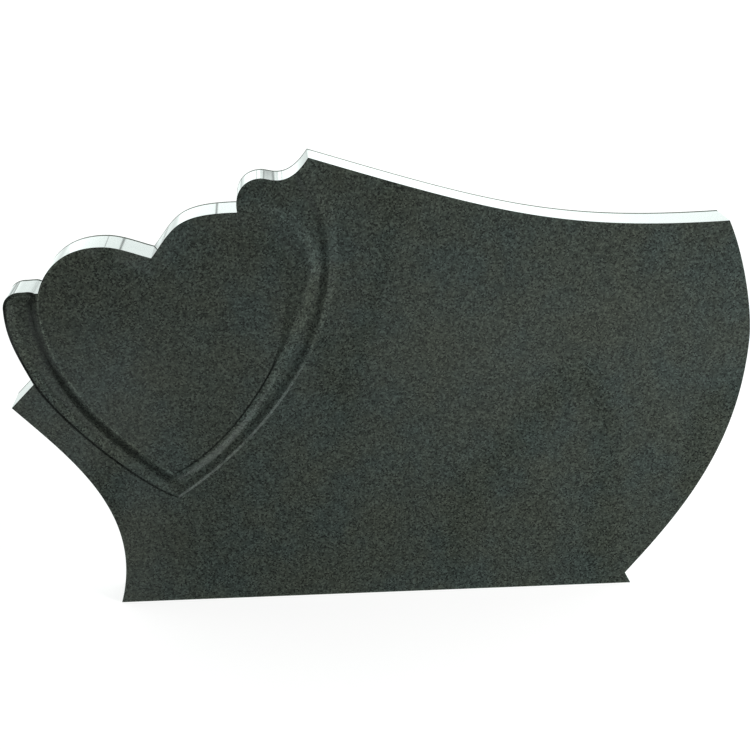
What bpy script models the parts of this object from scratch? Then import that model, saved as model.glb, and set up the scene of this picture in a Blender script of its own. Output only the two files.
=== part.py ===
"""Upright granite headstone: one polished slab with a swept top edge and a double heart carved at its left.

Metres, +Z up. The slab stands on the ground plane, its carved face looks to -Y, and the origin is the middle
of the ground under its box. As a mason would, the relief is cut into the front of a plain block first, and
the outline is sawn through it last.
"""

from math import cos, pi

import bmesh
import bpy
from mathutils import Matrix, Vector
from mathutils.geometry import interpolate_bezier

# The whole stone
LENGTH = 1.265
HEIGHT = 0.800
THICKNESS = 0.080
FOOT_LENGTH = 0.928
FOOT_FLARE = (0.0116, 0.0213)
WING_OVERHANG = 0.1595
WING_HEIGHT = 0.3815
CORNER_HEIGHT = 0.6825
CORNER_INSET = 0.0548
BELLY_HEIGHT = 0.4725

# The hearts: the outer one reaches from its tip to the stone's highest point
OUTER_TIP_HEIGHT = 0.2042
OUTER_TIP_INSET = 0.1123
INNER_HEART_SHARE = 0.7776

# The relief, as heights above the field, which is the plain part of the face
CREST_RISE = 0.006
PANEL_RISE = 0.0042
RIM_RISE = 0.003
STEP_WIDTH = 0.0024
CREST_LAND = 0.0008
FLANK_WIDTH = 0.021
RIM_STEP_WIDTH = 0.005
RIM_SLOPE_AT_PEAK = 0.024
RIM_COVE_WIDTH = 0.015
RIM_NARROWS_OVER = 0.62
SAWN_FLANK_SHARE = 0.1

# How the blanks and cutters are made
FACET = 0.009
FEWEST_FACETS = 4
FLANK_FACETS = 5
RIM_COVE_FACETS = 4
NARROWING_POINTS = 6
BURIED = 0.001
SUNK_EDGE = 0.0003
SLACK = 0.01
MERGED = 0.0001
MARGIN = 0.020

STONE_COLOUR = (0.042, 0.048, 0.044, 1.0)
STONE_ROUGHNESS = 0.12

FIELD_FRONT = -THICKNESS / 2 + CREST_RISE
FOOT_LEFT = Vector((-LENGTH / 2 + WING_OVERHANG, 0.0))
FOOT_RIGHT = FOOT_LEFT + Vector((FOOT_LENGTH, 0.0))
OUTER_TIP = FOOT_LEFT + Vector((OUTER_TIP_INSET, OUTER_TIP_HEIGHT))
OUTER_HEART_HEIGHT = HEIGHT - OUTER_TIP_HEIGHT
INNER_HEART_HEIGHT = OUTER_HEART_HEIGHT * INNER_HEART_SHARE

# The body's curves, each as two handles: their shares of the way across and of the way up from start to end
LEFT_SIDE_HANDLES = ((-0.311, 0.466), (0.420, 0.743))
TOP_HANDLES = ((0.443, 0.828), (0.604, 1.110))
SHOULDER_HANDLES = ((0.555, 0.279), (1.0, 0.757))
RIGHT_SIDE_HANDLES = ((0.0, 0.451), (0.501, 0.739))

# Each heart is drawn 100 units high with its tip at zero. A curve is two handles and the point it ends at.
DRAWN_HEIGHT = 100
OUTER_LEFT_SIDE = [[(-5.5, 0.3), (-30.6, 21.5), (-38.9, 36.7)]]
OUTER_LEFT_LOBE = [
    [(-43.4, 46.8), (-45.3, 51.2), (-45.3, 59.0)],
    [(-45.3, 62.2), (-43.0, 63.9), (-40.3, 63.9)],
]
OUTER_LEFT_LOBE_END = [[(-37.9, 63.9), (-35.8, 64.6), (-35.6, 62.6)]]
OUTER_RIGHT_LOBE = [
    [(18.9, 90.6), (22.0, 94.5), (26.7, 94.5)],
    [(29.4, 94.5), (33.7, 91.2), (39.5, 100.0)],
]
OUTER_RIGHT_SIDE = [
    [(44.9, 88.3), (47.3, 87.3), (47.3, 73.8)],
    [(47.3, 47.5), (25.5, 16.9), (0.0, 0.0)],
]
OUTER_RIGHT_LOBE_START = (20.0, 85.2)
INNER_TIP = OUTER_TIP + Vector((-1.11, 7.70)) * OUTER_HEART_HEIGHT / DRAWN_HEIGHT

INNER_LEFT_SIDE = [[(-25.7, 20.0), (-44.5, 42.5), (-44.5, 68.2)]]
INNER_LOBES = [
    [(-44.5, 72.4), (-40.4, 88.5), (-21.1, 88.5)],
    [(-15.1, 88.5), (-10.5, 86.2), (-3.6, 84.1)],
    [(4.8, 95.2), (5.2, 100.0), (28.4, 100.0)],
    [(49.5, 100.0), (51.8, 82.2), (51.8, 79.7)],
]
INNER_RIGHT_SIDE = [[(51.8, 70.7), (34.6, 17.7), (0.0, 0.0)]]


def along(start, curves):
    """Points about a facet apart along joined cubic curves, without the first point."""
    points = []
    here = Vector(start)
    for curve in curves:
        first, second, end = (Vector(p) for p in curve)
        length = (first - here).length + (second - first).length + (end - second).length
        count = max(FEWEST_FACETS, round(length / FACET))
        points += [p.to_2d() for p in interpolate_bezier(here, first, second, end, count + 1)[1:]]
        here = end
    return points


def drawn(curves, tip, height):
    """A heart's curves at their real size, with the tip in its place on the face."""
    return [[tip + Vector(p) * height / DRAWN_HEIGHT for p in curve] for curve in curves]


def spanned(start, end, handles):
    """The curve from start to end whose handles lie at these shares of the way across and of the way up."""
    way = end - start
    return [start + Vector((way.x * across, way.y * up)) for across, up in handles] + [end]


def outer_heart():
    """The outer heart's outline from its tip by the left: side, lobe, its end, right lobe, other side."""
    left_side = along(OUTER_TIP, drawn(OUTER_LEFT_SIDE, OUTER_TIP, OUTER_HEART_HEIGHT))
    left_lobe = along(left_side[-1], drawn(OUTER_LEFT_LOBE, OUTER_TIP, OUTER_HEART_HEIGHT))
    lobe_end = along(left_lobe[-1], drawn(OUTER_LEFT_LOBE_END, OUTER_TIP, OUTER_HEART_HEIGHT))
    start = OUTER_TIP + Vector(OUTER_RIGHT_LOBE_START) * OUTER_HEART_HEIGHT / DRAWN_HEIGHT
    right_lobe = [start] + along(start, drawn(OUTER_RIGHT_LOBE, OUTER_TIP, OUTER_HEART_HEIGHT))
    right_side = along(right_lobe[-1], drawn(OUTER_RIGHT_SIDE, OUTER_TIP, OUTER_HEART_HEIGHT))
    return left_side, left_lobe, lobe_end, right_lobe, right_side


def inner_heart():
    """The inner heart's outline from its tip by the left: side, both lobes with the cusp, other side."""
    left_side = along(INNER_TIP, drawn(INNER_LEFT_SIDE, INNER_TIP, INNER_HEART_HEIGHT))
    lobes = along(left_side[-1], drawn(INNER_LOBES, INNER_TIP, INNER_HEART_HEIGHT))
    right_side = along(lobes[-1], drawn(INNER_RIGHT_SIDE, INNER_TIP, INNER_HEART_HEIGHT))
    return left_side, lobes, right_side


def body_outline(notch, peak, hidden):
    """The stone without its hearts: foot, hollow left side, wing, swept top, full right side, flare."""
    wing = Vector((-LENGTH / 2, WING_HEIGHT))
    corner = Vector((LENGTH / 2 - CORNER_INSET, CORNER_HEIGHT))
    belly = Vector((LENGTH / 2, BELLY_HEIGHT))
    ankle = FOOT_RIGHT + Vector((-FOOT_FLARE[0], FOOT_FLARE[1]))
    left_side = along(FOOT_LEFT, [spanned(FOOT_LEFT, wing, LEFT_SIDE_HANDLES)])
    top = along(peak, [spanned(peak, corner, TOP_HANDLES)])
    shoulder = spanned(corner, belly, SHOULDER_HANDLES)
    right_side = along(corner, [shoulder, spanned(belly, ankle, RIGHT_SIDE_HANDLES)])
    return [FOOT_LEFT] + left_side + [notch, hidden, peak] + top + right_side + [FOOT_RIGHT]


def clean(points):
    """The same points without any that lie on the one before."""
    kept = [points[0]]
    for point in points[1:]:
        if (point - kept[-1]).length > MERGED:
            kept.append(point)
    if (kept[-1] - kept[0]).length < MERGED:
        kept.pop()
    return kept


def new_object(name, mesh):
    """A mesh as an object in the cutters' collection."""
    made = bpy.data.objects.new(name, mesh)
    made.hide_render = True
    made.display_type = "WIRE"
    bpy.data.collections["cutters"].objects.link(made)
    return made


def plate(name, outline, reach):
    """A flat outline standing upright, drawn out by reach to each side of the slab's middle plane."""
    curve = bpy.data.curves.new(name + "_outline", "CURVE")
    curve.dimensions = "2D"
    curve.fill_mode = "BOTH"
    curve.extrude = reach
    spline = curve.splines.new("POLY")
    points = clean(outline)
    spline.points.add(len(points) - 1)
    for spot, point in zip(spline.points, points):
        spot.co = (point.x, point.y, 0.0, 1.0)
    spline.use_cyclic_u = True
    drawing = bpy.data.objects.new(name + "_drawing", curve)
    drawing.rotation_euler = (pi / 2, 0.0, 0.0)
    bpy.context.scene.collection.objects.link(drawing)
    bpy.context.view_layer.update()
    mesh = bpy.data.meshes.new_from_object(drawing.evaluated_get(bpy.context.evaluated_depsgraph_get()))
    mesh.transform(drawing.matrix_world)
    bpy.data.objects.remove(drawing)
    shape = bmesh.new()
    shape.from_mesh(mesh)
    bmesh.ops.remove_doubles(shape, verts=shape.verts, dist=MERGED)
    bmesh.ops.recalc_face_normals(shape, faces=shape.faces)
    shape.to_mesh(mesh)
    shape.free()
    return new_object(name, mesh)


def sideways(path, closed):
    """At each point of a path, the mitred direction to its left, scaled so that offsets keep their width."""
    count = len(path)
    offsets = []
    for i, here in enumerate(path):
        before = path[i - 1] if closed or i > 0 else None
        after = path[(i + 1) % count] if closed or i < count - 1 else None
        runs = []
        if before is not None:
            runs.append((here - before).normalized())
        if after is not None:
            runs.append((after - here).normalized())
        lefts = [Vector((-run.y, run.x)) for run in runs]
        total = lefts[0] + lefts[-1]
        offsets.append(total / (1 + lefts[0].dot(lefts[-1])))
    return offsets


def moulding(name, path, sections, closed):
    """A loft along the face: each section lists (offset to the path's left, height above the field)."""
    shape = bmesh.new()
    rings = []
    for here, left, section in zip(path, sideways(path, closed), sections):
        ring = []
        for offset, height in section:
            spot = here + left * offset
            ring.append(shape.verts.new((spot.x, FIELD_FRONT - height, spot.y)))
        rings.append(ring)
    pairs = list(zip(rings, rings[1:]))
    if closed:
        pairs.append((rings[-1], rings[0]))
    else:
        shape.faces.new(rings[0])
        shape.faces.new(rings[-1])
    for ring, following in pairs:
        for i in range(len(ring)):
            j = (i + 1) % len(ring)
            shape.faces.new((ring[i], ring[j], following[j], following[i]))
    bmesh.ops.recalc_face_normals(shape, faces=shape.faces)
    mesh = bpy.data.meshes.new(name)
    shape.to_mesh(mesh)
    shape.free()
    return new_object(name, mesh)


def cove(start, width, rise, facets):
    """A slope, level at its crest, steepest halfway and level at the field, with its foot buried."""
    points = []
    for i in range(facets):
        share = i / facets
        points.append((start + width * share, rise * (1 + cos(pi * share)) / 2))
    return points + [(start + width, -SUNK_EDGE), (start + width, -BURIED)]


def blend(share):
    """From 0 to 1 and level at both ends."""
    share = min(1.0, max(0.0, share))
    return share * share * (3 - 2 * share)


def heart_moulding(left_side, lobes, right_side):
    """The raised edge round the inner heart: a small step down to the panel inside, a cove outside.

    Round the lobes the heart is the stone's own edge and the cove is sawn away, so it is kept narrow there.
    """
    path = clean([INNER_TIP] + left_side + lobes + right_side)
    first = len(left_side)
    last = first + len(lobes)
    step_foot = -STEP_WIDTH * (1 + BURIED / (CREST_RISE - PANEL_RISE))
    inside = [(step_foot, -BURIED), (step_foot, PANEL_RISE - BURIED), (-CREST_LAND / 2, CREST_RISE)]
    sections = []
    for i in range(len(path)):
        sawn = blend(min(i - first, last - 1 - i) / NARROWING_POINTS)
        width = FLANK_WIDTH * (1 - (1 - SAWN_FLANK_SHARE) * sawn)
        sections.append(inside + cove(CREST_LAND / 2, width, CREST_RISE, FLANK_FACETS))
    return moulding("heart_moulding", path, sections, closed=True)


def roomy(path, widths, kept):
    """The path and its widths to the right, less the points whose far edge runs into the rest of the path."""
    edges = [p - left * width for p, left, width in zip(path, sideways(path, False), widths)]
    room = [min((edge - p).length for p in path) for edge in edges]
    fits = [(p - kept).length < MERGED or r > w * (1 - SLACK) for p, w, r in zip(path, widths, room)]
    return [p for p, fit in zip(path, fits) if fit], [w for w, fit in zip(widths, fits) if fit]


def rim_moulding(left_side, left_lobe, right_side):
    """The low edge round the outer heart: a step or slope up from the field, then a shallow cove inside it.

    The step up is steep along the lower sides, and lies back to a broad slope as it climbs to the peak.
    """
    above_peak = right_side[0] + (right_side[0] - right_side[2]).normalized() * MARGIN * 3
    within_inner = left_lobe[-1] + Vector((MARGIN * 2, 0.0))
    path = clean([above_peak] + right_side + left_side + left_lobe + [within_inner])
    narrowed = RIM_NARROWS_OVER * len(right_side)
    spread = RIM_SLOPE_AT_PEAK - RIM_STEP_WIDTH
    widths = [RIM_STEP_WIDTH + spread * (1 - blend(i / narrowed)) + RIM_COVE_WIDTH for i in range(len(path))]
    path, widths = roomy(path, widths, kept=OUTER_TIP)
    sections = []
    for width in widths:
        slope = width - RIM_COVE_WIDTH
        foot = (-slope * BURIED / RIM_RISE, -BURIED)
        section = [foot] + cove(slope, RIM_COVE_WIDTH, RIM_RISE, RIM_COVE_FACETS)
        sections.append([(CREST_LAND / 2 - offset, height) for offset, height in section])
    return moulding("rim_moulding", path, sections, closed=False)


def boolean(target, operation, *others):
    """Adds to the target what it is joined with, cut by, or kept within.

    A moulding may cross itself where its path turns sharply, so crossings within one shape count too.
    """
    for other in others:
        change = target.modifiers.new(other.name, "BOOLEAN")
        change.operation = operation
        change.solver = "EXACT"
        change.use_self = True
        change.object = other


def granite():
    """Dark grey granite with a polished face."""
    stone = bpy.data.materials.new("polished_dark_granite")
    stone.use_nodes = True
    shader = stone.node_tree.nodes["Principled BSDF"]
    shader.inputs["Base Color"].default_value = STONE_COLOUR
    shader.inputs["Roughness"].default_value = STONE_ROUGHNESS
    shader.inputs["Metallic"].default_value = 0.0
    return stone


def block_transform():
    """Stretches a unit cube to the plain block: a margin wider and higher than the stone, back to field."""
    depth = THICKNESS / 2 - FIELD_FRONT
    size = (LENGTH + 2 * MARGIN, depth, HEIGHT + 2 * MARGIN)
    centre = (0.0, FIELD_FRONT + depth / 2, HEIGHT / 2)
    return Matrix.Translation(centre) @ Matrix.Diagonal((*size, 1.0))


def headstone():
    """The block with its relief, kept within the sawn outline."""
    outer_left, outer_left_lobe, outer_lobe_end, outer_right_lobe, outer_right = outer_heart()
    inner_left, inner_lobes, inner_right = inner_heart()
    notch = outer_left[-1]
    peak = outer_right_lobe[-1]
    hidden = (notch + INNER_TIP + outer_right[len(outer_right) // 2]) / 3

    saw = plate("saw_body", body_outline(notch, peak, hidden), THICKNESS)
    saw_outer = plate(
        "saw_outer_heart",
        [OUTER_TIP] + outer_left + outer_left_lobe + outer_lobe_end + outer_right_lobe + outer_right,
        THICKNESS + BURIED,
    )
    inner_outline = [INNER_TIP] + inner_left + inner_lobes + inner_right
    saw_inner = plate("saw_inner_heart", inner_outline, THICKNESS + 2 * BURIED)
    boolean(saw, "UNION", saw_outer, saw_inner)

    crest_line = clean(inner_outline)
    inset = [p - left * STEP_WIDTH for p, left in zip(crest_line, sideways(crest_line, True))]
    panel = plate("heart_panel", inset, -FIELD_FRONT + PANEL_RISE)
    crest = heart_moulding(inner_left, inner_lobes, inner_right)
    rim = rim_moulding(outer_left, outer_left_lobe, outer_right)

    bpy.ops.mesh.primitive_cube_add(size=1.0)
    block = bpy.context.object
    block.name = "headstone_slab"
    block.data.name = "headstone_slab"
    block.data.transform(block_transform())
    for collection in list(block.users_collection):
        collection.objects.unlink(block)
    bpy.data.collections["headstone"].objects.link(block)
    block.data.materials.append(granite())
    boolean(block, "UNION", panel, rim, crest)
    boolean(block, "INTERSECT", saw)
    return block


def main():
    for old in list(bpy.data.objects):
        bpy.data.objects.remove(old)
    for name in ("headstone", "cutters"):
        collection = bpy.data.collections.new(name)
        bpy.context.scene.collection.children.link(collection)
    headstone()


main()
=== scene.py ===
"""The looks of the headstone: a polished dark granite slab with a double heart worked in its face.

The frame gives the slab's box and its node. The dressed slab is worked out here on the same outline, with
finer relief, eased edges and the granite's grain, and it stands for the plain solid.
"""

from math import pi, radians

import bpy
import numpy as np
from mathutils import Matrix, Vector
from mathutils.geometry import delaunay_2d_cdt


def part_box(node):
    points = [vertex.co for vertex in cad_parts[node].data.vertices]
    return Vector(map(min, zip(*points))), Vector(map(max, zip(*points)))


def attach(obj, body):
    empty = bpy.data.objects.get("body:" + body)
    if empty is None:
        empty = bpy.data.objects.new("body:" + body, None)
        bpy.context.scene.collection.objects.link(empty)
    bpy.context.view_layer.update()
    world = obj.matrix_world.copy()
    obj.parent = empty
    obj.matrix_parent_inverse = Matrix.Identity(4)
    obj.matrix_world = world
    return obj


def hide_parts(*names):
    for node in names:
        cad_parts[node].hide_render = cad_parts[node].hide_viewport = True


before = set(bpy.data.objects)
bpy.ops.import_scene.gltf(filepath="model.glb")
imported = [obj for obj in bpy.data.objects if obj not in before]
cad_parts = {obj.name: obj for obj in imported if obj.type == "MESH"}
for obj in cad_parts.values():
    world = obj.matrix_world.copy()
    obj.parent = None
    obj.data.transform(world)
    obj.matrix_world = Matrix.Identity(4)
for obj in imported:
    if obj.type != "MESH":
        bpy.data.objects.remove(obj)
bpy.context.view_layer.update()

# The stone's box, and its sizes in metres, the same as in the solid
LOW, HIGH = (np.array(corner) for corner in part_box("headstone_slab"))
HEIGHT = HIGH[2] - LOW[2]
FOOT_LENGTH = 0.928
FOOT_FLARE = (0.0116, 0.0213)
WING_OVERHANG = 0.1595
WING_HEIGHT = 0.3815
CORNER_HEIGHT = 0.6825
CORNER_INSET = 0.0548
BELLY_HEIGHT = 0.4725

# The hearts: the outer one reaches from its tip to the stone's highest point
OUTER_TIP_HEIGHT = 0.2042
OUTER_TIP_INSET = 0.1123
INNER_HEART_SHARE = 0.7776

# The inner heart: the crest and the panel over the field, the step between them, and the flank outside
CREST_RISE = 0.006
PANEL_RISE = 0.0042
STEP_WIDTH = 0.0024
FLANK_WIDTH = 0.021

# The step's width where it dies away round the right lobe, and the share of the right side it comes back in
STEP_WIDTH_AT_LOBE = 0.030
STEP_DIES_OVER = 0.45

# The outer heart's rim: a steep step low down, a lower and broader slope by the peak, and a cove inside
RIM_RISE = 0.003
RIM_RISE_AT_PEAK = 0.0018
RIM_STEP_WIDTH = 0.005
RIM_SLOPE_AT_PEAK = 0.024
RIM_COVE_WIDTH = 0.015
RIM_NARROWS_OVER = 0.62

# How far the rim's line is drawn past the peak, on the way its last few points give, and into the inner heart
RIM_PAST_PEAK = 0.06
POINTS_BACK = 4
RIM_WITHIN_LOBE = 0.04

# The stone's edges: eased, flat beside that, and by the back a strip that the polishing head leaves dull
EASED_EDGE = 0.0014
BESIDE_EDGE = 0.0005
DULL_BAND = 0.008

# How fine the mesh is: points along its lines, in metres, and rows of faces across its mouldings
PITCH = 0.0025
FOOT_PITCH = 0.02
EASED_ROWS = 4
COVE_ROWS = 6
FLANK_ROWS = 9

# How near two points may come along a line, where an inner corner folds a contour back, and by the edge
CROWDED = 0.0004
FOLDED_BACK = 0.00015
CLEAR_OF_EDGE = 0.0008

# How the sums are done: samples of a curve, points at a time, what stands for nothing in a division
CURVE_SAMPLES = 400
BATCH = 4000
NOT_ZERO = 1e-12

# The filling of the face works in millimetres, joins points this near, and keeps what lies inside the outline
MILLIMETRES = 1000
JOINED_WITHIN = 1e-5
ONLY_INSIDE = 1

# Where a face's slope is read, off the crease at its corner, and the angle from which an edge stays sharp
OFF_CREASE = 0.0001
SHARP = radians(30)

# The slab's finishes, in the order of its materials
POLISHED, HONED, SAWN = range(3)

FIELD_FRONT = LOW[1] + CREST_RISE
BACK = HIGH[1]
FOOT_LEFT = np.array([LOW[0] + WING_OVERHANG, 0.0])
FOOT_RIGHT = FOOT_LEFT + [FOOT_LENGTH, 0.0]
OUTER_TIP = FOOT_LEFT + [OUTER_TIP_INSET, OUTER_TIP_HEIGHT]
OUTER_HEART_HEIGHT = HEIGHT - OUTER_TIP_HEIGHT
INNER_HEART_HEIGHT = OUTER_HEART_HEIGHT * INNER_HEART_SHARE

# Each heart is drawn 100 units high with its tip at zero
DRAWN_HEIGHT = 100
INNER_TIP = OUTER_TIP + np.array([-1.11, 7.70]) * OUTER_HEART_HEIGHT / DRAWN_HEIGHT

# The body's curves, each as two handles: their shares of the way across and of the way up from start to end
LEFT_SIDE_HANDLES = ((-0.311, 0.466), (0.420, 0.743))
TOP_HANDLES = ((0.443, 0.828), (0.604, 1.110))
SHOULDER_HANDLES = ((0.555, 0.279), (1.0, 0.757))
RIGHT_SIDE_HANDLES = ((0.0, 0.451), (0.501, 0.739))

# The hearts' curves in drawing units, each as two handles and the point it ends at
OUTER_LEFT_SIDE = [[(-5.5, 0.3), (-30.6, 21.5), (-38.9, 36.7)]]
OUTER_LEFT_LOBE = [
    [(-43.4, 46.8), (-45.3, 51.2), (-45.3, 59.0)],
    [(-45.3, 62.2), (-43.0, 63.9), (-40.3, 63.9)],
]
OUTER_LEFT_LOBE_END = [[(-37.9, 63.9), (-35.8, 64.6), (-35.6, 62.6)]]
OUTER_RIGHT_LOBE_START = (20.0, 85.2)
OUTER_RIGHT_LOBE = [
    [(18.9, 90.6), (22.0, 94.5), (26.7, 94.5)],
    [(29.4, 94.5), (33.7, 91.2), (39.5, 100.0)],
]
OUTER_RIGHT_SIDE = [
    [(44.9, 88.3), (47.3, 87.3), (47.3, 73.8)],
    [(47.3, 47.5), (25.5, 16.9), (0.0, 0.0)],
]
INNER_LEFT_SIDE = [[(-25.7, 20.0), (-44.5, 42.5), (-44.5, 68.2)]]
INNER_LOBES = [
    [(-44.5, 72.4), (-40.4, 88.5), (-21.1, 88.5)],
    [(-15.1, 88.5), (-10.5, 86.2), (-3.6, 84.1)],
    [(4.8, 95.2), (5.2, 100.0), (28.4, 100.0)],
    [(49.5, 100.0), (51.8, 82.2), (51.8, 79.7)],
]
INNER_RIGHT_SIDE = [[(51.8, 70.7), (34.6, 17.7), (0.0, 0.0)]]


def evenly(line, pitch):
    """The same line with its points a pitch apart, measured along it, both ends kept."""
    run = np.concatenate([[0.0], np.cumsum(np.linalg.norm(np.diff(line, axis=0), axis=1))])
    stops = np.linspace(0.0, run[-1], max(2, round(run[-1] / pitch) + 1))
    return np.column_stack([np.interp(stops, run, line[:, axis]) for axis in range(2)])


def curved(start, curves, pitch=PITCH):
    """Points along joined cubic curves.

    At t from 0 to 1 the start, both handles and the end weigh (1-t)^3, 3(1-t)^2 t, 3(1-t) t^2 and t^3.
    """
    t = np.linspace(0.0, 1.0, CURVE_SAMPLES)[:, None]
    stretches = []
    a = np.asarray(start, float)
    for curve in curves:
        b, c, d = (np.asarray(p, float) for p in curve)
        line = (1 - t) ** 3 * a + 3 * (1 - t) ** 2 * t * b + 3 * (1 - t) * t**2 * c + t**3 * d
        stretches.append(evenly(line, pitch))
        a = d
    return np.vstack([stretches[0]] + [stretch[1:] for stretch in stretches[1:]])


def spanned(start, end, handles):
    """The curve from start to end whose handles lie at these shares of the way across and of the way up."""
    return [start + np.array(share) * (end - start) for share in handles] + [end]


def heart_line(start, curves, tip, height):
    """A heart's curves at their real size, from a start in the same drawing units."""
    real = [[tip + np.array(p) * height / DRAWN_HEIGHT for p in curve] for curve in curves]
    return curved(tip + np.array(start) * height / DRAWN_HEIGHT, real)


def crossing(first, second):
    """Where two lines first cross: the last point before it on each, and the point itself.

    Two runs cross at the share of the first that is the cross product of the gap between their starts and the
    second, over the cross product of both, where it and its like for the second lie from 0 to 1.
    """
    p, r = first[:-1, None], np.diff(first, axis=0)[:, None]
    q, s = second[None, :-1], np.diff(second, axis=0)[None]
    turn = r[..., 0] * s[..., 1] - r[..., 1] * s[..., 0]
    turn = np.where(np.abs(turn) < NOT_ZERO, NOT_ZERO, turn)
    gap = q - p
    along_first = (gap[..., 0] * s[..., 1] - gap[..., 1] * s[..., 0]) / turn
    along_second = (gap[..., 0] * r[..., 1] - gap[..., 1] * r[..., 0]) / turn
    hit = (along_first >= 0) & (along_first <= 1) & (along_second >= 0) & (along_second <= 1)
    i, j = np.argwhere(hit)[0]
    return i, j, first[i] + along_first[i, j] * (first[i + 1] - first[i])


def uncrowded(line):
    """A closed line without points that crowd the one before."""
    return line[np.linalg.norm(line - np.roll(line, 1, axis=0), axis=1) > CROWDED]


def leftwards(line, closed=True):
    """The mitred direction to the left of travel at each point, scaled so that offsets keep their width.

    It is the sum of the left directions of the runs before and after, over one plus their dot product.
    """
    runs = np.diff(np.vstack([line, line[:1]]), axis=0)
    runs /= np.maximum(np.linalg.norm(runs, axis=1), NOT_ZERO)[:, None]
    if not closed:
        runs[-1] = runs[-2]
    after = np.column_stack([-runs[:, 1], runs[:, 0]])
    before = np.roll(after, 1, axis=0)
    if not closed:
        before[0] = after[0]
    return (before + after) / (1 + (before * after).sum(axis=1))[:, None]


class Outlines:
    """The stone's lines on its face, x to the right and z up, all run with the stone on their right."""

    outer_left = heart_line((0, 0), OUTER_LEFT_SIDE, OUTER_TIP, OUTER_HEART_HEIGHT)
    outer_lobe = heart_line(OUTER_LEFT_SIDE[-1][-1], OUTER_LEFT_LOBE, OUTER_TIP, OUTER_HEART_HEIGHT)
    lobe_end = heart_line(OUTER_LEFT_LOBE[-1][-1], OUTER_LEFT_LOBE_END, OUTER_TIP, OUTER_HEART_HEIGHT)
    right_lobe = heart_line(OUTER_RIGHT_LOBE_START, OUTER_RIGHT_LOBE, OUTER_TIP, OUTER_HEART_HEIGHT)
    outer_right = heart_line(OUTER_RIGHT_LOBE[-1][-1], OUTER_RIGHT_SIDE, OUTER_TIP, OUTER_HEART_HEIGHT)
    inner_left = heart_line((0, 0), INNER_LEFT_SIDE, INNER_TIP, INNER_HEART_HEIGHT)
    inner_lobes = heart_line(INNER_LEFT_SIDE[-1][-1], INNER_LOBES, INNER_TIP, INNER_HEART_HEIGHT)
    inner_right = heart_line(INNER_LOBES[-1][-1], INNER_RIGHT_SIDE, INNER_TIP, INNER_HEART_HEIGHT)

    outer = uncrowded(np.vstack([outer_left, outer_lobe, lobe_end, right_lobe, outer_right]))
    inner = uncrowded(np.vstack([inner_left, inner_lobes, inner_right]))


def silhouette():
    """The sawn outline: hollow left side, wing, the hearts' lobes, peak, swept top, full right side, foot."""
    wing = np.array([LOW[0], WING_HEIGHT])
    corner = np.array([HIGH[0] - CORNER_INSET, CORNER_HEIGHT])
    belly = np.array([HIGH[0], BELLY_HEIGHT])
    ankle = FOOT_RIGHT + [-FOOT_FLARE[0], FOOT_FLARE[1]]
    left_side = curved(FOOT_LEFT, [spanned(FOOT_LEFT, wing, LEFT_SIDE_HANDLES)])
    left = np.vstack([Outlines.outer_lobe, Outlines.lobe_end[1:], Outlines.right_lobe[:1]])
    inner = np.vstack([Outlines.inner_left, Outlines.inner_lobes[1:]])
    i, j, left_meeting = crossing(left, inner)
    k, m, right_meeting = crossing(inner[j + 1:], Outlines.right_lobe)
    peak = Outlines.right_lobe[-1]
    top = curved(peak, [spanned(peak, corner, TOP_HANDLES)])
    shoulder = spanned(corner, belly, SHOULDER_HANDLES)
    right_side = curved(corner, [shoulder, spanned(belly, ankle, RIGHT_SIDE_HANDLES)])
    foot = evenly(np.array([FOOT_RIGHT, FOOT_LEFT]), FOOT_PITCH)
    return uncrowded(np.vstack([
        left_side,
        evenly(np.array([wing, left[0]]), PITCH),
        left[: i + 1],
        left_meeting[None],
        inner[j + 1 : j + 1 + k + 1],
        right_meeting[None],
        Outlines.right_lobe[m + 1 :],
        top[1:],
        right_side[1:],
        foot[:-1],
    ]))


def nearest(points, line, closed):
    """Each point's distance to a line, the share of the line's length at the nearest spot, and the way out.

    The nearest spot on a run is at the gap from its start times the run, over its length squared, kept within
    the run. The way out is the unit direction from the nearest spot to the point.
    """
    starts, ends = line, np.roll(line, -1, axis=0)
    if not closed:
        starts, ends = line[:-1], line[1:]
    runs = ends - starts
    lengths = np.linalg.norm(runs, axis=1)
    before = np.concatenate([[0.0], np.cumsum(lengths)])
    away = np.empty(len(points))
    share = np.empty(len(points))
    direction = np.empty((len(points), 2))
    for first in range(0, len(points), BATCH):
        batch = slice(first, first + BATCH)
        gap = points[batch, None] - starts
        t = np.clip((gap * runs).sum(axis=2) / np.maximum(lengths**2, NOT_ZERO), 0.0, 1.0)
        gap -= t[..., None] * runs
        distances = np.linalg.norm(gap, axis=2)
        at = distances.argmin(axis=1)
        rows = np.arange(len(at))
        away[batch] = distances[rows, at]
        share[batch] = (before[at] + t[rows, at] * lengths[at]) / before[-1]
        direction[batch] = gap[rows, at] / np.maximum(distances[rows, at], NOT_ZERO)[:, None]
    return away, share, direction


def inside(points, loop):
    """Which points lie within a closed line: those whose level ray crosses it an odd number of times."""
    x, z = points[:, :1], points[:, 1:]
    x0, z0 = loop[:, 0], loop[:, 1]
    x1, z1 = np.roll(x0, -1), np.roll(z0, -1)
    spans = (z0 > z) != (z1 > z)
    rise = np.where(z1 == z0, 1.0, z1 - z0)
    return (spans & (x < (x1 - x0) * (z - z0) / rise + x0)).sum(axis=1) % 2 == 1


def eased(share):
    """From 0 to 1, level at both ends: three times the share squared, less twice its cube."""
    share = np.clip(share, 0.0, 1.0)
    return share * share * (3 - 2 * share)


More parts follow.
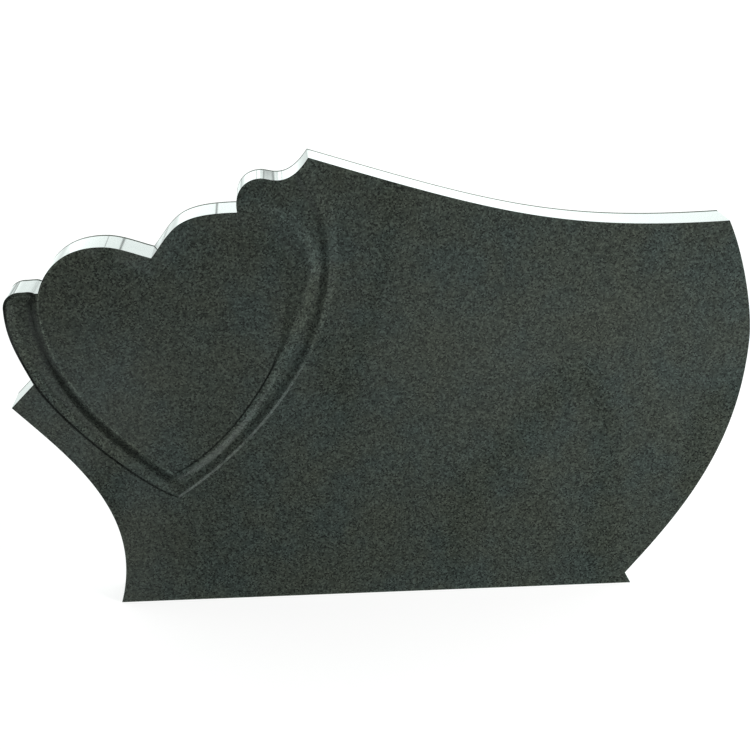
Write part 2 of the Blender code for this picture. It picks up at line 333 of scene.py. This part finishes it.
def rim_line():
    """The outer heart's worked edge, and the share of it that climbs to the peak.

    It runs from beyond the peak down the right side, round the tip, up the left lobe and on within the inner
    heart.
    """
    right, left, lobe = Outlines.outer_right, Outlines.outer_left, Outlines.outer_lobe
    onwards = right[0] - right[POINTS_BACK]
    above_peak = right[0] + onwards / np.linalg.norm(onwards) * RIM_PAST_PEAK
    within_lobe = lobe[-1] + [RIM_WITHIN_LOBE, 0.0]
    line = np.vstack([above_peak, right, left[1:], lobe[1:], within_lobe])
    climb = np.linalg.norm(np.diff(right, axis=0), axis=1).sum() + RIM_PAST_PEAK
    return line, climb / np.linalg.norm(np.diff(line, axis=0), axis=1).sum()


def shares_along(line, closed):
    """How far along a line each of its points lies, as a share of the whole."""
    whole = np.vstack([line, line[:1]]) if closed else line
    run = np.concatenate([[0.0], np.cumsum(np.linalg.norm(np.diff(whole, axis=0), axis=1))])
    return (run / run[-1])[: len(line)]


def rim_shape(share, climb_share):
    """How far the rim leans back and how high it stands, by the share of the way along it."""
    near_peak = 1 - eased(share / (RIM_NARROWS_OVER * climb_share))
    width = RIM_STEP_WIDTH + (RIM_SLOPE_AT_PEAK - RIM_STEP_WIDTH) * near_peak
    return width, RIM_RISE + (RIM_RISE_AT_PEAK - RIM_RISE) * near_peak


def step_width(share):
    """How broad the step down to the heart's panel is: narrow, but dying away round the right lobe."""
    run = shares_along(Outlines.inner, closed=True)
    left_end = run[len(Outlines.inner_left)]
    right_start = run[len(Outlines.inner_left) + len(Outlines.inner_lobes)]
    right_end = right_start + STEP_DIES_OVER * (1 - right_start)
    cusp = (left_end + right_start) / 2
    widened = eased((share - left_end) / (cusp - left_end))
    narrowed = eased((share - right_start) / (right_end - right_start))
    return STEP_WIDTH + (STEP_WIDTH_AT_LOBE - STEP_WIDTH) * widened * (1 - narrowed)


def relief(points):
    """The height of the face above its field, and its slope across and up.

    Both are none away from the hearts, and the moulding's about them.
    """
    height = np.zeros(len(points))
    slope = np.zeros((len(points), 2))
    lowest, highest = Outlines.outer.min(axis=0), Outlines.outer.max(axis=0)
    worked = ((points > lowest - FLANK_WIDTH) & (points < highest + FLANK_WIDTH)).all(axis=1)
    height[worked], slope[worked] = moulding(points[worked])
    return height, slope


def moulding(points):
    """The relief of points about the hearts: of the rim's moulding and the inner heart's, the higher one.

    Across the rim, from outside: a straight rise, then half a cosine wave down. Across the heart's edge, from
    outside: half a cosine wave up to the crest, then a straight step down to the panel.
    """
    line, climb_share = rim_line()
    away, share, outwards = nearest(points, line, closed=False)
    width, rise = rim_shape(share, climb_share)
    within = inside(points, Outlines.outer)
    rising = away < width
    cove = np.clip((away - width) / RIM_COVE_WIDTH, 0, 1)
    cove_slope = -pi / 2 / RIM_COVE_WIDTH * np.sin(pi * cove)
    rim = np.where(within, rise * np.where(rising, away / width, (1 + np.cos(pi * cove)) / 2), 0.0)
    rim_slope = np.where(within, rise * np.where(rising, 1 / width, cove_slope), 0.0)[:, None] * outwards

    away, share, outwards = nearest(points, Outlines.inner, closed=True)
    width = step_width(share)
    within = inside(points, Outlines.inner)
    step = np.clip(away / width, 0, 1)
    flank = np.clip(away / FLANK_WIDTH, 0, 1)
    on_panel = CREST_RISE + (PANEL_RISE - CREST_RISE) * step
    on_flank = CREST_RISE * (1 + np.cos(pi * flank)) / 2
    heart = np.where(within, on_panel, on_flank)
    step_slope = np.where(step < 1, (PANEL_RISE - CREST_RISE) / width, 0.0)
    flank_slope = -CREST_RISE * pi / 2 / FLANK_WIDTH * np.sin(pi * flank)
    heart_slope = np.where(within, step_slope, flank_slope)[:, None] * outwards
    return np.maximum(rim, heart), np.where((rim > heart)[:, None], rim_slope, heart_slope)


def contour(line, closed, offset):
    """A line moved sideways, to the right, and which of its points an inner corner hasn't folded back.

    A point is folded back where it lies nearer to the line than it was moved.
    """
    moved = line - leftwards(line, closed) * np.broadcast_to(offset, len(line))[:, None]
    away, _, _ = nearest(moved, line, closed)
    return moved, away > np.abs(np.broadcast_to(offset, len(line))) - FOLDED_BACK


def carved_face(loop):
    """The carved face as triangles: the eased outline, filled, with the relief's contours as its edges."""
    rim, climb_share = rim_line()
    width, _ = rim_shape(shares_along(rim, closed=False), climb_share)
    step = step_width(shares_along(Outlines.inner, closed=True))
    rows = [(rim, False, width * share) for share in (0.0, 0.5, 1.0)]
    rows += [(rim, False, width + RIM_COVE_WIDTH * share) for share in np.linspace(0, 1, COVE_ROWS + 1)[1:]]
    rows += [(Outlines.inner, True, -FLANK_WIDTH * share) for share in np.linspace(0, 1, FLANK_ROWS + 1)]
    rows += [(Outlines.inner, True, step * share) for share in (0.5, 1.0)]
    points = [loop]
    edges = []
    count = len(loop)
    for line, closed, offset in rows:
        moved, good = contour(line, closed, offset)
        good &= inside(moved, loop)
        good &= nearest(moved, loop, closed=True)[0] > CLEAR_OF_EDGE
        following = np.roll(good, -1)
        if not closed:
            following[-1] = False
        at = count + np.arange(len(moved))
        points.append(moved)
        edges.append(np.column_stack([at, np.roll(at, -1)])[good & following])
        count += len(moved)
    points = np.vstack(points)
    edges = np.vstack(edges)
    used = np.zeros(len(points), bool)
    used[: len(loop)] = True
    used[edges.ravel()] = True
    renumbered = np.cumsum(used) - 1
    places = [Vector(p) for p in points[used] * MILLIMETRES]
    outline = [list(range(len(loop) - 1, -1, -1))]
    made = delaunay_2d_cdt(places, renumbered[edges].tolist(), outline, ONLY_INSIDE, JOINED_WITHIN)
    return np.array([tuple(p) for p in made[0]]) / MILLIMETRES, np.array(made[2])


def open_edge(places, faces, outline):
    """The corners along the face's open edge, in order backwards along the outline, the face on their left.

    They are where those sides start that no triangle has the other way round.
    """
    sides = np.vstack([faces[:, [0, 1]], faces[:, [1, 2]], faces[:, [2, 0]]])
    this_way = sides[:, 0] * (faces.max() + 1) + sides[:, 1]
    other_way = sides[:, 1] * (faces.max() + 1) + sides[:, 0]
    corners = sides[~np.isin(this_way, other_way), 0]
    _, share, _ = nearest(places[corners], outline, closed=True)
    return corners[np.argsort(-share)]


def settle_normals(mesh, places, faces):
    """Gives the carved face the relief's own normals, so that each crease of the moulding stays crisp.

    A corner's slope is taken a little towards the middle of its face, which is the face's own side of the
    crease. The normal of the surface y = -height is (-slope across, -1, -slope up), at unit length.
    """
    corners = places[faces]
    inwards = corners.mean(axis=1, keepdims=True) - corners
    inner = corners + inwards * np.minimum(1.0, OFF_CREASE / np.linalg.norm(inwards, axis=2, keepdims=True))
    _, slope = relief(inner.reshape(-1, 2))
    carved = np.column_stack([-slope[:, 0], -np.ones(len(slope)), -slope[:, 1]])
    carved /= np.linalg.norm(carved, axis=1)[:, None]
    normals = np.empty(len(mesh.loops) * 3)
    mesh.corner_normals.foreach_get("vector", normals)
    normals = normals.reshape(-1, 3)
    normals[: len(carved)] = carved
    mesh.normals_split_custom_set(normals.tolist())


def edge_rings(front_y):
    """The rings that run round the stone from its face to its back, as (distance out, depth).

    The eased edge is a quarter circle: from the face's own depth, out by the sine and back by one less the
    cosine. The back's edge is the same the other way.
    """
    angles = np.linspace(0, pi / 2, EASED_ROWS + 1)
    rings = [(EASED_EDGE * np.sin(a), front_y + EASED_EDGE * (1 - np.cos(a))) for a in angles[1:]]
    rings.append((EASED_EDGE, front_y + EASED_EDGE + BESIDE_EDGE))
    for depth in (DULL_BAND, EASED_EDGE + BESIDE_EDGE):
        rings.append((EASED_EDGE, np.full_like(front_y, BACK - depth)))
    for a in angles:
        rings.append((EASED_EDGE * np.cos(a), np.full_like(front_y, BACK - EASED_EDGE * (1 - np.sin(a)))))
    return rings


def dressed_slab():
    """The whole stone: the carved face, an eased edge all round, the sides and the plain back."""
    outline = silhouette()
    loop = outline - leftwards(outline) * EASED_EDGE
    places, faces = carved_face(loop)
    edge = open_edge(places, faces, outline)
    ring = places[edge]
    height, _ = relief(places)
    points = [np.column_stack([places[:, 0], FIELD_FRONT - height, places[:, 1]])]
    numbers = [edge]
    count = len(places)
    for out, depth in edge_rings(FIELD_FRONT - height[edge]):
        spot = ring - leftwards(ring) * out
        points.append(np.column_stack([spot[:, 0], depth, np.maximum(spot[:, 1], LOW[2])]))
        numbers.append(count + np.arange(len(ring)))
        count += len(ring)
    points = np.vstack(points)
    strips = [
        np.column_stack([lower, np.roll(lower, -1), np.roll(upper, -1), upper])
        for upper, lower in zip(numbers, numbers[1:])
    ]
    sides = np.vstack(strips)
    mesh = bpy.data.meshes.new("dressed_slab")
    mesh.from_pydata(points.tolist(), [], faces.tolist() + sides.tolist() + [numbers[-1][::-1].tolist()])

    # The sides are polished down to the dull strip, and sawn there and under the foot
    polished_strips = EASED_ROWS + 2
    sawn = (points[sides][..., 2] < LOW[2] + EASED_EDGE).all(axis=1)
    sawn[polished_strips * len(edge) :] = True
    finish = np.concatenate([np.full(len(faces), POLISHED), np.where(sawn, SAWN, POLISHED), [HONED]])
    mesh.polygons.foreach_set("material_index", finish)
    mesh.shade_smooth()
    mesh.set_sharp_from_angle(angle=SHARP)
    settle_normals(mesh, places, faces)
    return mesh


def linear(code):
    """An sRGB hex colour as the linear values that the shaders take.

    A dark part is divided by 12.92. Another has 0.055 added, is divided by 1.055 and raised to the power 2.4.
    """
    parts = np.array([int(code[i : i + 2], 16) for i in (1, 3, 5)]) / 255
    parts = np.where(parts <= 0.04045, parts / 12.92, ((parts + 0.055) / 1.055) ** 2.4)
    return (*parts.tolist(), 1.0)


def add(tree, kind, settings=None, values=None, links=None, stops=()):
    """A node with its settings, its sockets' values and links, and the stops of its colour ramp."""
    node = tree.nodes.new(kind)
    for name, value in (settings or {}).items():
        setattr(node, name, value)
    for name, value in (values or {}).items():
        node.inputs[name].default_value = value
    for name, source in (links or {}).items():
        tree.links.new(source, node.inputs[name])
    if stops:
        elements = node.color_ramp.elements
        while len(elements) < len(stops):
            elements.new(0.5)
        for element, (position, code) in zip(elements, stops):
            element.position = position
            element.color = linear(code)
    return node


# A grain and its raggedness, in metres. Real grains are 1 to 2 mm, and these are coarser so that they show.
GRAIN = 0.0024
RAGGEDNESS = 0.0016

# A cloud of one tint, and a wave that the polishing head leaves, in metres
CLOUD = 0.11
WAVE = 0.035

# The grains from black to pale, each with the share of the stone that is darker
GRAIN_SHARES = (0.0, 0.16, 0.38, 0.64, 0.85)
POLISHED_GRAINS = ("#1B1B1B", "#262626", "#2E2E2E", "#363636", "#404040")
HONED_GRAINS = ("#2D2A2B", "#373435", "#3F3C3D", "#474445", "#514D4F")
SAWN_GRAINS = ("#42423F", "#4C4C4A", "#555553", "#5E5E5C", "#686865")

# The cast of the clouds: olive, green and teal
CASTS = ((0.36, "#EDFFE5"), (0.5, "#E9FFEA"), (0.64, "#E1FFF2"))


def granite(name, grains, roughness, spread, waves, gloss):
    """A fine grained dark granite.

    Ragged grains of five greys, times clouds of an olive and a teal cast. The roughness wanders by its spread
    from a grain's middle to its edge, and the surface rises and falls by the waves' height.
    """
    stone = bpy.data.materials.new(name)
    stone.use_nodes = True
    tree = stone.node_tree
    shader = tree.nodes["Principled BSDF"]
    shader.inputs["IOR"].default_value = 1.54
    shader.inputs["Specular IOR Level"].default_value = gloss
    place = add(tree, "ShaderNodeTexCoord").outputs["Object"]

    fine = {"Scale": 1 / RAGGEDNESS, "Detail": 2.0}
    ragged = add(tree, "ShaderNodeTexNoise", values=fine, links={"Vector": place})
    pulls = {"Vector": ragged.outputs["Color"]}
    pull = add(tree, "ShaderNodeVectorMath", {"operation": "SCALE"}, {"Scale": RAGGEDNESS}, pulls)
    both = {0: place, 1: pull.outputs["Vector"]}
    torn = add(tree, "ShaderNodeVectorMath", {"operation": "ADD"}, links=both)
    cells = add(tree, "ShaderNodeTexVoronoi", values={"Scale": 1 / GRAIN}, links={"Vector": torn.outputs[0]})
    pick = add(tree, "ShaderNodeSeparateColor", links={"Color": cells.outputs["Color"]})
    stops = list(zip(GRAIN_SHARES, grains))
    body = add(tree, "ShaderNodeValToRGB", links={"Fac": pick.outputs["Red"]}, stops=stops)
    body.color_ramp.interpolation = "CONSTANT"

    soft = {"Scale": 1 / CLOUD, "Detail": 4.0, "Roughness": 0.6}
    cloud = add(tree, "ShaderNodeTexNoise", values=soft, links={"Vector": place})
    cast = add(tree, "ShaderNodeValToRGB", links={"Fac": cloud.outputs["Fac"]}, stops=CASTS)
    both = {6: body.outputs["Color"], 7: cast.outputs["Color"]}
    times = {"data_type": "RGBA", "blend_type": "MULTIPLY"}
    tinted = add(tree, "ShaderNodeMix", times, {"Factor": 1.0}, both)
    tree.links.new(tinted.outputs[2], shader.inputs["Base Color"])

    between = {"To Min": roughness - spread, "To Max": roughness + spread}
    wander = add(tree, "ShaderNodeMapRange", values=between, links={"Value": cells.outputs["Distance"]})
    tree.links.new(wander.outputs["Result"], shader.inputs["Roughness"])
    broad = {"Scale": 1 / WAVE, "Detail": 1.0}
    swell = add(tree, "ShaderNodeTexNoise", values=broad, links={"Vector": place})
    rises = {"Strength": 1.0, "Distance": waves}
    bump = add(tree, "ShaderNodeBump", values=rises, links={"Height": swell.outputs["Fac"]})
    tree.links.new(bump.outputs["Normal"], shader.inputs["Normal"])
    return stone


# The floor's size in metres, and how brightly it glows by itself
FLOOR_SIZE = 60.0
FLOOR_GLOW = 0.8


def floor():
    """A plain pale floor. Most of its light is its own, so that the stone's shadow on it stays faint."""
    bpy.ops.mesh.primitive_plane_add(size=FLOOR_SIZE, location=(0.0, 0.0, 0.0))
    ground = bpy.context.object
    ground.name = "floor"
    pale = bpy.data.materials.new("pale_floor")
    pale.use_nodes = True
    shader = pale.node_tree.nodes["Principled BSDF"]
    shader.inputs["Base Color"].default_value = linear("#8C8C8B")
    shader.inputs["Roughness"].default_value = 0.9
    shader.inputs["Emission Color"].default_value = linear("#FFFFFF")
    shader.inputs["Emission Strength"].default_value = FLOOR_GLOW
    ground.data.materials.append(pale)
    ground.visible_diffuse = False
    ground.visible_glossy = False


# What the polish mirrors: each glow's strength, and its spans as (part, from, to, share before, share after)
GLOWS = {
    "the bright band low behind the stone": (3.6, (
        ("Y", 0.0, 0.25, 0.0, 1.0),
        ("Z", -0.05, 0.1, 0.45, 1.0),
        ("Z", 0.55, 0.75, 1.0, 0.0),
    )),
    "the dim front, fuller on the right": (0.44, (
        ("X", -0.15, 0.25, 0.47, 1.0),
        ("Z", -0.5, -0.3, 0.4, 1.0),
        ("Z", -0.36, -0.22, 1.0, 0.55),
    )),
    "a little more low on the left": (0.27, (
        ("X", -0.12, -0.05, 1.0, 0.0),
        ("Z", -0.36, -0.3, 1.0, 0.0),
        ("Z", -0.62, -0.52, 0.0, 1.0),
    )),
    "the pale ground on the right": (0.7, (
        ("X", 0.1, 0.3, 0.0, 1.0),
        ("Z", -0.8, -0.62, 1.0, 0.0),
    )),
}

# The light's panels, and the thin dark gaps between them, where a stretched noise comes near a level
PANEL = 0.16
PANEL_STRETCH = (1.0, 0.5, 0.35)
GAP_LEVEL = 0.45
GAP_CORE = 0.005
GAP_EDGE = 0.03
GAP_LIGHT = 0.3


def room():
    """The light all round, by the way it comes from, while the camera sees a pale wall.

    It is the sum of the glows, darker in the gaps. A glow is its strength times a share for each of its
    spans: as the way's x, y or z goes from one end of the span to the other, the share eases from before to
    after.
    """
    world = bpy.data.worlds.new("room")
    bpy.context.scene.world = world
    world.use_nodes = True
    tree = world.node_tree
    smooth = {"interpolation_type": "SMOOTHSTEP"}
    way = add(tree, "ShaderNodeTexCoord").outputs["Generated"]
    parts = add(tree, "ShaderNodeSeparateXYZ", links={"Vector": way})
    light = add(tree, "ShaderNodeValue")
    light.outputs[0].default_value = 0.0
    for strength, spans in GLOWS.values():
        glow = add(tree, "ShaderNodeValue")
        glow.outputs[0].default_value = strength
        for part, first, last, before, after in spans:
            span = {"From Min": first, "From Max": last, "To Min": before, "To Max": after}
            share = add(tree, "ShaderNodeMapRange", smooth, span, {"Value": parts.outputs[part]})
            both = {0: glow.outputs[0], 1: share.outputs[0]}
            glow = add(tree, "ShaderNodeMath", {"operation": "MULTIPLY"}, links=both)
        both = {0: light.outputs[0], 1: glow.outputs[0]}
        light = add(tree, "ShaderNodeMath", {"operation": "ADD"}, links=both)

    stretched = add(tree, "ShaderNodeVectorMath", {"operation": "MULTIPLY"}, {1: PANEL_STRETCH}, {0: way})
    broad = {"Scale": 1 / PANEL, "Detail": 1.0}
    panel = add(tree, "ShaderNodeTexNoise", values=broad, links={"Vector": stretched.outputs[0]})
    past = add(tree, "ShaderNodeMath", {"operation": "SUBTRACT"}, {1: GAP_LEVEL}, {0: panel.outputs["Fac"]})
    away = add(tree, "ShaderNodeMath", {"operation": "ABSOLUTE"}, links={0: past.outputs[0]})
    gap = {"From Min": GAP_CORE, "From Max": GAP_EDGE, "To Min": GAP_LIGHT, "To Max": 1.0}
    opened = add(tree, "ShaderNodeMapRange", smooth, gap, {"Value": away.outputs[0]})
    both = {0: light.outputs[0], 1: opened.outputs[0]}
    light = add(tree, "ShaderNodeMath", {"operation": "MULTIPLY"}, links=both)

    lit = tree.nodes["Background"]
    lit.inputs["Color"].default_value = linear("#EEF8F5")
    tree.links.new(light.outputs[0], lit.inputs["Strength"])
    wall = add(tree, "ShaderNodeBackground", values={"Color": linear("#F4F5F4"), "Strength": 1.0})
    seen = add(tree, "ShaderNodeLightPath").outputs["Is Camera Ray"]
    choice = add(tree, "ShaderNodeMixShader", links={0: seen, 1: lit.outputs[0], 2: wall.outputs[0]})
    tree.links.new(choice.outputs[0], tree.nodes["World Output"].inputs["Surface"])


# The key light, in metres and watts
KEY_PLACE = (5.2, -3.0, 1.2)
KEY_TARGET = (0.0, 0.0, 0.4)
KEY_SIZE = 2.4
KEY_POWER = 1000.0


def key_light():
    """A square soft light on the right that grazes the carved face. The polish doesn't mirror it."""
    data = bpy.data.lights.new("key", "AREA")
    data.size = KEY_SIZE
    data.energy = KEY_POWER
    lamp = bpy.data.objects.new("key", data)
    lamp.location = KEY_PLACE
    lamp.rotation_euler = (Vector(KEY_TARGET) - Vector(KEY_PLACE)).to_track_quat("-Z", "Y").to_euler()
    lamp.visible_glossy = False
    bpy.context.scene.collection.objects.link(lamp)


# The camera as the photograph gives it, worked out from the front face's lines and their vanishing points
CAMERA_PLACE = (-0.1854, -2.1988, 1.2533)
CAMERA_TILT = radians(69.09)
CAMERA_TURN = radians(-4.43)
FOCAL_IN_WIDTHS = 1361 / 750


def camera():
    """The photograph's camera: opposite the hearts, a little above, looking down on the face."""
    data = bpy.data.cameras.new("camera")
    data.sensor_width = 36.0
    data.lens = data.sensor_width * FOCAL_IN_WIDTHS
    eye = bpy.data.objects.new("camera", data)
    eye.location = CAMERA_PLACE
    eye.rotation_euler = (CAMERA_TILT, 0.0, CAMERA_TURN)
    bpy.context.scene.collection.objects.link(eye)
    bpy.context.scene.camera = eye


camera()
floor()
room()
key_light()
bpy.context.scene.view_settings.view_transform = "Standard"

slab = bpy.data.objects.new("granite_slab", dressed_slab())
bpy.context.scene.collection.objects.link(slab)
for finish in (
    # Polished with felt: the deep tone of wet stone, and a clear reflection at a low angle
    granite("polished_granite", POLISHED_GRAINS, roughness=0.05, spread=0.015, waves=0.00001, gloss=0.5),
    # Honed with fine grit, on the back: the grain shows paler under a soft sheen
    granite("honed_granite", HONED_GRAINS, roughness=0.5, spread=0.05, waves=0.00001, gloss=0.5),
    # Cut with a diamond blade, under the foot and on the sides' last strip: dull and paler still
    granite("sawn_granite", SAWN_GRAINS, roughness=0.9, spread=0.05, waves=0.00002, gloss=0.1),
):
    slab.data.materials.append(finish)
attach(slab, "root")
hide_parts("headstone_slab")
